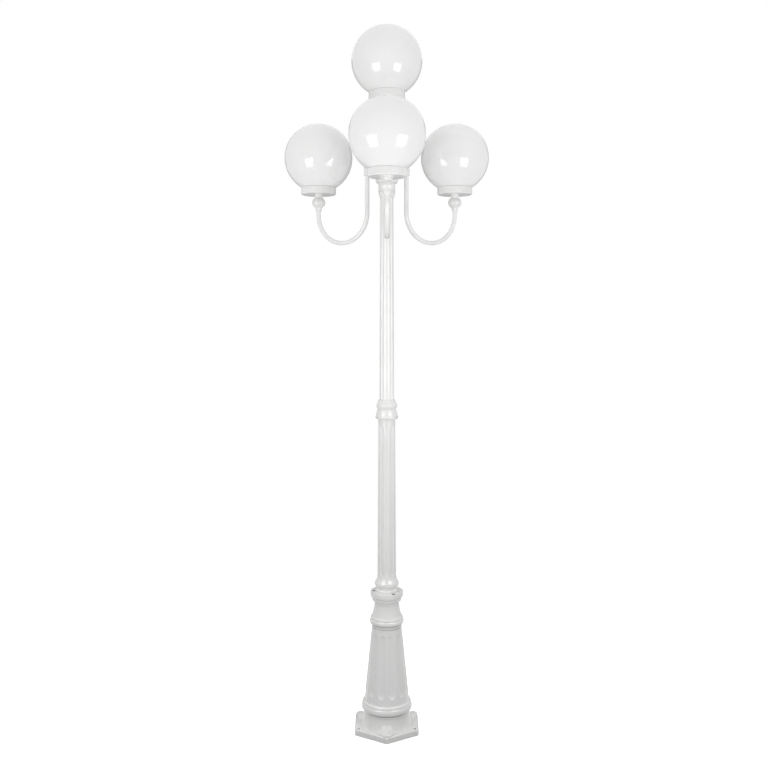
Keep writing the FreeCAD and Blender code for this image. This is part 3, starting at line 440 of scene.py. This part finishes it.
opal, place = new_finish("opal_globe")
facing = place.node("NewGeometry", {}, {}, "Normal")
upward = place.node("SeparateXYZ", {}, {"Vector": facing}, "Z").step(*film_slope)
milk = place.noise(milk_scale, detail=3.0)
film = upward * place.noise(film_scale, detail=4.0).step(*film_band)
body_white = milk.step(*milk_band).blend(opal_white, opal_milk)
surface(place, {"Base Color": (film * film_cover).blend(body_white, film_grey),
                "Roughness": opal_blur + film * film_blur + milk * milk_blur,
                "Normal": place.bump(place.noise(ripple_scale) * ripple_depth),
                "Subsurface Weight": glow_share, "Subsurface Radius": glow_tint,
                "Subsurface Scale": glow_reach})
finishes["opal_globe"] = opal
print("finishes", len(finishes))

# %% [markdown]
# The fixings are bright zinc plate on steel, with brass for the earth screw and bare aluminium for
# the spigot inside the joint. Metals differ mostly in colour and in the lines that their making
# leaves, so one function with a tint, a tarnish and a line spacing covers them all.

# %% Metals
patch_scale = 90.0
patch_band = (0.4, 0.7)
patch_cover = 0.6
patch_blur = 0.15
scratch_scale = 900.0
scratch_blur = 0.08
line_wander = 1.5


def bright_metal(name, tint, tarnish, roughness, line_scale, line_depth):
    """Metal with fine lines across Z and patches of tarnish."""
    material, place = new_finish(name)
    patch = place.noise(patch_scale, detail=4.0).step(*patch_band)
    scratch = place.noise(scratch_scale)
    lines = place.node("TexWave", {"bands_direction": "Z"},
                       {"Vector": place, "Scale": line_scale, "Distortion": line_wander})
    surface(place, {"Base Color": (patch * patch_cover).blend(tint, tarnish), "Metallic": 1.0,
                    "Roughness": roughness + patch * patch_blur + scratch * scratch_blur,
                    "Normal": place.bump(lines * line_depth)})
    return material


metals = {
    "plated_screw": dict(tint=(0.62, 0.63, 0.64, 1), tarnish=(0.47, 0.46, 0.43, 1), roughness=0.26,
                         line_scale=300.0, line_depth=0.00003),
    "brass": dict(tint=(0.78, 0.58, 0.26, 1), tarnish=(0.48, 0.34, 0.16, 1), roughness=0.3,
                  line_scale=300.0, line_depth=0.00003),
    "bare_aluminium": dict(tint=(0.78, 0.79, 0.8, 1), tarnish=(0.6, 0.6, 0.6, 1), roughness=0.38,
                           line_scale=400.0, line_depth=0.00002),
    "lamp_cap": dict(tint=(0.7, 0.68, 0.64, 1), tarnish=(0.5, 0.47, 0.42, 1), roughness=0.25,
                     line_scale=88.0, line_depth=0.0009),
}
for name, looks in metals.items():
    finishes[name] = bright_metal(name, **looks)
print("finishes", len(finishes))

# %% [markdown]
# The rest are plain working materials: a moulded terminal block, rubber gaskets and cable sheaths,
# glazed ceramic lampholders, frosted lamps, and the black oxide on the clamp screws, which is a matt
# skin rather than a metal's shine. Each has its own colour, gleam and grain, and again one function
# holds what they share.

# %% Plastics, rubber, ceramic and oxide
drift_scale = 30.0
drift_band = (0.35, 0.7)
grain_blur = 0.12
common_gleam = 0.5
oxide_gleam = 0.12


def plain(name, colour, shade, roughness, grain_scale, grain_depth, gleam=common_gleam):
    """Plain surface with a grain and a slow change of shade."""
    material, place = new_finish(name)
    drift = place.noise(drift_scale, detail=3.0)
    grain = place.noise(grain_scale)
    surface(place, {"Base Color": drift.step(*drift_band).blend(colour, shade),
                    "Roughness": roughness + grain * grain_blur, "Specular IOR Level": gleam,
                    "Normal": place.bump(grain * grain_depth)})
    return material


plain_surfaces = {
    "terminal_plastic": dict(colour=(0.78, 0.77, 0.72, 1), shade=(0.7, 0.69, 0.64, 1), roughness=0.5,
                             grain_scale=1200.0, grain_depth=0.00004),
    "cable_sheath": dict(colour=(0.03, 0.03, 0.03, 1), shade=(0.05, 0.05, 0.05, 1), roughness=0.55,
                         grain_scale=1500.0, grain_depth=0.00005),
    "gasket_rubber": dict(colour=(0.035, 0.035, 0.035, 1), shade=(0.06, 0.06, 0.06, 1), roughness=0.62,
                          grain_scale=900.0, grain_depth=0.00008),
    "holder_ceramic": dict(colour=(0.85, 0.83, 0.78, 1), shade=(0.79, 0.77, 0.71, 1), roughness=0.14,
                           grain_scale=250.0, grain_depth=0.00003),
    "lamp_bulb": dict(colour=(0.88, 0.88, 0.86, 1), shade=(0.84, 0.84, 0.82, 1), roughness=0.4,
                      grain_scale=1100.0, grain_depth=0.00002),
    "blackened_screw": dict(colour=(0.012, 0.012, 0.013, 1), shade=(0.022, 0.02, 0.018, 1), roughness=0.6,
                            grain_scale=1400.0, grain_depth=0.00004, gleam=oxide_gleam),
}
for name, looks in plain_surfaces.items():
    finishes[name] = plain(name, **looks)
print("finishes", len(finishes))

# %% [markdown]
# On the real post each piece gets its finish before it is put together: castings and tubes go through
# the coating oven, screws come plated. The record of the post names one finish for every piece, so a
# single loop can hand them out, and a piece that is added later gets its finish by its name alone.

# %% Give every node its finish
slots = {part["node"]: part["material_slot"] for part in frame["record"]["subparts"]}
for node_name, slot_name in slots.items():
    nodes[node_name].material_slots[0].material = finishes[slot_name]
print("nodes finished", len(slots))

# %% [markdown]
# The foot is a sand casting: a hexagonal plate, a slightly tapering body with a cast fillet round its
# base, and at every second corner a low tongue that the body's face runs out into. A foundry carves
# these in the pattern as one flowing surface, which the CAD model only follows with a few ruled
# faces. Here the surface is a net of profiles, one for each degree round the axis: down the body, out
# along the fillet or the tongue, over its lip and down to the plate. Only the reach of the profile, the
# height where it leaves the body and the lip change with the angle, so neighbouring profiles always
# fit together, where joining separate spurs to a cone would leave creases.

# %% Foot profiles
plate_top = 0.02
body_top = 0.0645
body_top_radius = 0.0795
body_base_radius = 0.0925
fillet_reach = 0.094
fillet_height = 0.0025
fillet_lip = 0.0008
tongue_reach = 0.1245
tongue_height = 0.027
tongue_lip = 0.006
tongue_slope = 0.2
tongue_root_turn = math.radians(27)
tongue_tip_turn = math.radians(4)
tongue_rise = 0.7
lip_round = 0.0012
lip_turn = math.radians(45)
spur_directions = [math.radians(angle) for angle in (-90, 30, 150)]
body_rows = 6
sweep_rows = 9


def polar(radius, turn, height):
    """Point at a distance and a turn from the post's axis."""
    return Vector((radius * math.cos(turn), radius * math.sin(turn), height))


def body_radius(height):
    """Radius of the tapering body at a height."""
    share = (body_top - height) / (body_top - plate_top)
    return body_top_radius + share * (body_base_radius - body_top_radius)


def foot_reach(off):
    """How far the foot's body reaches over the plate, at an angle off a tongue's middle."""
    if off >= tongue_root_turn:
        return fillet_reach
    if off <= tongue_tip_turn:
        return tongue_reach
    tip = polar(tongue_reach, tongue_tip_turn, 0)
    side = polar(fillet_reach, tongue_root_turn, 0) - tip
    return tip.cross(side).z / polar(1, off, 0).cross(side).z


def sweep_point(start, knee, end, along):
    """Point (radius, height) of a curve that leaves its start and comes to its end along its knee."""
    weights = ((1 - along) ** 2, 2 * along * (1 - along), along ** 2)
    return tuple(sum(weight * point[axis] for weight, point in zip(weights, (start, knee, end)))
                 for axis in range(2))


def foot_profile(turn):
    """Points (radius, height) down the foot at a turn, from the body's top to the plate."""
    off = min(abs(math.remainder(turn - direction, 2 * math.pi)) for direction in spur_directions)
    reach = foot_reach(off)
    share = min((reach - fillet_reach) / (tongue_reach - fillet_reach) / tongue_rise, 1)
    rise = share * share * (3 - 2 * share)
    leave = plate_top + fillet_height + rise * (tongue_height - fillet_height)
    lip = plate_top + fillet_lip + rise * (tongue_lip - fillet_lip)
    bend = lip + tongue_slope * (reach - body_base_radius)
    corner = min(lip_round, (lip - plate_top) / 2)
    points = []
    for row in range(body_rows):
        height = body_top + (leave - body_top) * row / body_rows
        points.append((body_radius(height), height))
    start, knee, end = (body_radius(leave), leave), (body_radius(bend), bend), (reach - corner, lip)
    for row in range(sweep_rows + 1):
        points.append(sweep_point(start, knee, end, row / sweep_rows))
    points.append((reach - corner * (1 - math.sin(lip_turn)), lip - corner * (1 - math.cos(lip_turn))))
    points.append((reach, lip - corner))
    points.append((reach, plate_top))
    return points


print("reach in mm", [round(1000 * foot_reach(math.radians(off)), 1) for off in range(0, 30, 5)])

# %% [markdown]
# The rest of the foot is plate work: a hexagon with rounded corners and a rounded upper edge, a wide
# bore for the supply cable, three anchor holes, and three deep holes from below for the screws that
# hold the pedestal. Each wall is a row of faces between two loops of edges, and each flat face is
# filled between the loops that bound it, holes and all. Cutting the holes out of a finished solid
# would do too, but it leaves ragged triangles in the flowing faces.

# %% Loops, walls and flat faces
plate_sides = 6
side_turn = 2 * math.pi / plate_sides
corner_radius = 0.13
corner_round = 0.01
corner_steps = 8
hole_segments = 32


def add_loop(mesh, points):
    """A closed loop through some points: its vertices and its edges."""
    vertices = [mesh.verts.new(point) for point in points]
    edges = [mesh.edges.new((vertices[i - 1], vertices[i])) for i in range(len(vertices))]
    return vertices, edges


def add_circle(mesh, centre, radius, height, count):
    """A level circle about an upright axis."""
    steps = [2 * math.pi * i / count for i in range(count)]
    return add_loop(mesh, [Vector((centre.x, centre.y, 0)) + polar(radius, step, height) for step in steps])


def add_wall(mesh, loops):
    """Smooth faces between each loop and the next."""
    rings = [vertices for vertices, edges in loops]
    for first, second in zip(rings, rings[1:]):
        for i in range(len(first)):
            mesh.faces.new((first[i - 1], first[i], second[i], second[i - 1])).smooth = True


def add_hole(mesh, centre, steps):
    """Wall of a round hole through some (radius, height) steps. Gives its first and last loops."""
    loops = [add_circle(mesh, centre, radius, height, hole_segments) for radius, height in steps]
    add_wall(mesh, loops)
    return loops[0], loops[-1]


def fill_flat(mesh, loops):
    """Flat faces between an outer loop and the holes in it."""
    bounds = [edge for vertices, edges in loops for edge in edges]
    bmesh.ops.triangle_fill(mesh, edges=bounds, use_beauty=True)


def plate_loop(mesh, inset, height):
    """Outline of the plate, drawn in by an inset."""
    points = []
    for corner in range(plate_sides):
        direction = spur_directions[0] + corner * side_turn
        centre = polar(corner_radius - corner_round / math.cos(side_turn / 2), direction, height)
        for step in range(corner_steps + 1):
            turn = direction + side_turn * (step / corner_steps - 1 / 2)
            points.append(centre + polar(corner_round - inset, turn, 0))
    return add_loop(mesh, points)


print("plate corners at", corner_radius, "m, rounded by", corner_round)

# %% [markdown]
# The casting now goes together from its faces: the net of profiles, the plate's rim, the bore, the
# anchor holes at the corners between the tongues, the screw holes in line with the tongues, and last
# the three flat faces at the body's top, on the plate and underneath. Edges that turn by more than a
# crease angle stay sharp, and all others are shaded smooth, so the flowing body shows no facets.

# %% Foot
profile_count = 360
rim_round = 0.0025
rim_steps = 4
bore_radius = 0.058
bore_segments = 120
anchor_circle = 0.114
anchor_radius = 0.0055
anchor_chamfer = 0.0005
screw_circle = 0.0695
screw_hole_radius = 0.0044
head_hole_radius = 0.0069
head_seat = 0.04
crease_angle = math.radians(40)

foot_mesh = bmesh.new()
turns = [2 * math.pi * i / profile_count for i in range(profile_count)]
profiles = [foot_profile(turn) for turn in turns]
rows = []
for ring in zip(*profiles):
    points = [polar(radius, turn, height) for turn, (radius, height) in zip(turns, ring)]
    rows.append(add_loop(foot_mesh, points))
add_wall(foot_mesh, rows)
plate_rim = []
for step in range(rim_steps + 1):
    turn = math.pi / 2 * step / rim_steps
    inset = rim_round * (1 - math.sin(turn))
    drop = rim_round * (1 - math.cos(turn))
    plate_rim.append(plate_loop(foot_mesh, inset, plate_top - drop))
plate_rim.append(plate_loop(foot_mesh, 0, 0))
add_wall(foot_mesh, plate_rim)
bore = [add_circle(foot_mesh, Vector(), bore_radius, height, bore_segments) for height in (body_top, 0)]
add_wall(foot_mesh, bore)

top_loops = [rows[0], bore[0]]
plate_loops = [rows[-1], plate_rim[0]]
under_loops = [plate_rim[-1], bore[1]]
anchor_steps = [(anchor_radius + anchor_chamfer, plate_top), (anchor_radius, plate_top - anchor_chamfer),
                (anchor_radius, 0)]
screw_steps = [(screw_hole_radius, body_top), (screw_hole_radius, head_seat), (head_hole_radius, head_seat),
               (head_hole_radius, 0)]
for direction in spur_directions:
    mouth, end = add_hole(foot_mesh, polar(anchor_circle, direction + side_turn, 0), anchor_steps)
    plate_loops.append(mouth)
    under_loops.append(end)
    mouth, end = add_hole(foot_mesh, polar(screw_circle, direction, 0), screw_steps)
    top_loops.append(mouth)
    under_loops.append(end)
for loops in (top_loops, plate_loops, under_loops):
    fill_flat(foot_mesh, loops)
bmesh.ops.recalc_face_normals(foot_mesh, faces=foot_mesh.faces)
for edge in foot_mesh.edges:
    edge.smooth = edge.calc_face_angle(math.pi) < crease_angle
print("foot faces", len(foot_mesh.faces), "open edges", sum(not edge.is_manifold for edge in foot_mesh.edges))

# %% [markdown]
# A remade piece takes the place of its CAD node: it rides on the post, stands for the node and takes
# the node's own finish. The foot is the first, and the screws below come the same way. Changing the
# CAD node's own mesh would be shorter, but it would leave nothing to measure the new piece against.

# %% Put the foot in its place
def add_piece(mesh, node_name):
    """Put a finished mesh in the place of a node of the post, with the node's own finish."""
    data = bpy.data.meshes.new("fine_" + node_name)
    mesh.to_mesh(data)
    mesh.free()
    data.materials.append(finishes[slots[node_name]])
    piece = bpy.data.objects.new("fine_" + node_name, data)
    bpy.context.scene.collection.objects.link(piece)
    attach(piece, "post")
    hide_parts(node_name)
    print(piece.name, "faces", len(data.polygons))


add_piece(foot_mesh, "foot")

# %% [markdown]
# The fixings are small, but they are what tells a real casting from a toy: three blackened socket
# screws set in the clamp ring, three plated ones under the foot, and grub screws in the collar, the
# ferrule and the hub. In the CAD model they are rods with sharp ends. Real ones have a rolled
# rim, a chamfered tip and a clean key hole. Each is remade here in the very place of its CAD solid,
# which is found as one loose island of the node's mesh and measured along the screw's axis.

# %% Where the screws are
merge_reach = 1e-6
shank_share = 1 / 5
up = Vector((0, 0, 1))


def islands(node_name):
    """The corner points of each separate solid in a node."""
    copy = bmesh.new()
    copy.from_mesh(nodes[node_name].data)
    bmesh.ops.remove_doubles(copy, verts=copy.verts, dist=merge_reach)
    left = set(copy.verts)
    groups = []
    while left:
        reached = [left.pop()]
        for vertex in reached:
            near = {edge.other_vert(vertex) for edge in vertex.link_edges} & left
            left -= near
            reached.extend(near)
        groups.append([vertex.co.copy() for vertex in reached])
    copy.free()
    return groups


def spread(points, axis):
    """Lowest and highest reach of points along an axis."""
    reaches = [point.dot(axis) for point in points]
    return min(reaches), max(reaches)


def screw_measures(points, axis):
    """Tip, length, shank radius, head radius and head height of a screw that lies along an axis."""
    across = axis.orthogonal().normalized()
    beside = axis.cross(across)
    low, high = spread(points, axis)
    length = high - low
    tip = axis * low
    for direction in (across, beside):
        tip = tip + direction * sum(spread(points, direction)) / 2
    reach = [((point - tip).dot(axis), (point - tip).cross(axis).length) for point in points]
    head_radius = max(radius for along, radius in reach)
    shank_radius = max(radius for along, radius in reach if along < shank_share * length)
    least_head = (head_radius + shank_radius) / 2 - merge_reach
    head_start = min(along for along, radius in reach if radius > least_head)
    return tip, length, shank_radius, head_radius, length - head_start


def outward(points):
    """Direction from the post's axis to the middle of some points."""
    middle = sum(points, Vector()) / len(points)
    return Vector((middle.x, middle.y, 0)).normalized()


screw_axes = {
    "clamp_screws": lambda points: up,
    "foot_screws": lambda points: -up,
    "joint_grub_screws": outward,
    "ferrule_grub_screws": outward,
    "arm_grub_screws": outward,
}
screws = {}
for node_name, find_axis in screw_axes.items():
    screws[node_name] = [(find_axis(points), screw_measures(points, find_axis(points)))
                         for points in islands(node_name)]
    print(node_name, [[round(1000 * size, 2) for size in sizes[1:]] for axis, sizes in screws[node_name]])

# %% [markdown]
# One screw is a cylinder for the head, with its lower cap inset and pulled down for the shank. The
# upper cap is opened and bridged to a hexagon, whose edge is pushed down for the key hole. Last, the
# rim, the key hole's mouth and the tip are bevelled. Making the key hole by bridging keeps clean
# rings of faces, where cutting one solid from another would leave long thin triangles.

# %% One socket screw
ring_segments = 48
key_sides = 6
key_share = 0.5
key_depth_share = 0.55
key_depth_most = 0.004
rim_bevel = 0.1
tip_bevel = 0.18
mouth_bevel = 0.04
bevel_rows = 2
round_bevel = 0.5


def corners(geometry):
    """The vertices among some geometry."""
    return [item for item in geometry if isinstance(item, bmesh.types.BMVert)]


def level_edges(mesh, height):
    """The edges of a mesh that lie at a height."""
    return [edge for edge in mesh.edges
            if all(abs(vertex.co.z - height) < merge_reach for vertex in edge.verts)]


def round_edges(mesh, edges, width):
    """Bevel some edges with a few rows of faces."""
    bmesh.ops.bevel(mesh, geom=edges, offset=width, segments=bevel_rows, profile=round_bevel,
                    affect="EDGES", material=-1)


def socket_screw(length, shank_radius, head_radius, head_height):
    """Screw on the Z axis with its tip at the origin and its key hole at the top."""
    mesh = bmesh.new()
    bmesh.ops.create_cone(mesh, cap_ends=True, segments=ring_segments, radius1=head_radius,
                          radius2=head_radius, depth=head_height)
    bmesh.ops.translate(mesh, verts=mesh.verts, vec=(0, 0, length - head_height / 2))
    if head_radius - shank_radius > merge_reach:
        under = min(mesh.faces, key=lambda face: face.calc_center_median().z)
        bmesh.ops.inset_region(mesh, faces=[under], thickness=head_radius - shank_radius)
        end = bmesh.ops.extrude_discrete_faces(mesh, faces=[under])["faces"][0]
        bmesh.ops.translate(mesh, verts=end.verts, vec=(0, 0, head_height - length))
    rim = level_edges(mesh, length)
    top = max(mesh.faces, key=lambda face: face.calc_center_median().z)
    bmesh.ops.delete(mesh, geom=[top], context="FACES_ONLY")
    key = bmesh.ops.create_circle(mesh, segments=key_sides, radius=head_radius * key_share,
                                  matrix=Matrix.Translation((0, 0, length)))["verts"]
    key_edges = list({edge for vertex in key for edge in vertex.link_edges})
    bmesh.ops.bridge_loops(mesh, edges=rim + key_edges)
    sunk = bmesh.ops.extrude_edge_only(mesh, edges=key_edges)["geom"]
    depth = min(key_depth_share * head_height, key_depth_most)
    bmesh.ops.translate(mesh, verts=corners(sunk), vec=(0, 0, -depth))
    bmesh.ops.contextual_create(mesh, geom=level_edges(mesh, length - depth))
    round_edges(mesh, level_edges(mesh, 0), tip_bevel * shank_radius)
    round_edges(mesh, rim, rim_bevel * head_radius)
    round_edges(mesh, key_edges, mouth_bevel * head_radius)
    bmesh.ops.recalc_face_normals(mesh, faces=mesh.faces)
    return mesh


sample = socket_screw(length=0.02, shank_radius=0.003, head_radius=0.005, head_height=0.0045)
print("faces in a screw", len(sample.faces), "open edges", sum(edge.is_boundary for edge in sample.edges))
sample.free()

# %% [markdown]
# Each set of screws becomes one object at the origin, with every screw's place in its mesh. The clamp
# screws have deep heads that come up almost to the mouth of their holes, because the photograph shows
# them as dark dots from the side, where a sunk head would be hidden by the white wall of its hole.

# %% Set the screws
deeper_head = {"clamp_screws": 0.0034}


def set_screws(node_name):
    """Put a socket screw at every place of a node's screws, as one piece."""
    one = bpy.data.meshes.new("one_screw")
    whole = bmesh.new()
    extra = deeper_head.get(node_name, 0)
    for axis, (tip, length, shank_radius, head_radius, head_height) in screws[node_name]:
        screw = socket_screw(length + extra, shank_radius, head_radius, head_height + extra)
        turn = axis.to_track_quat("Z", "Y").to_matrix().to_4x4()
        bmesh.ops.transform(screw, matrix=Matrix.Translation(tip) @ turn, verts=screw.verts)
        screw.to_mesh(one)
        screw.free()
        whole.from_mesh(one)
    bpy.data.meshes.remove(one)
    add_piece(whole, node_name)


for node_name in screws:
    set_screws(node_name)
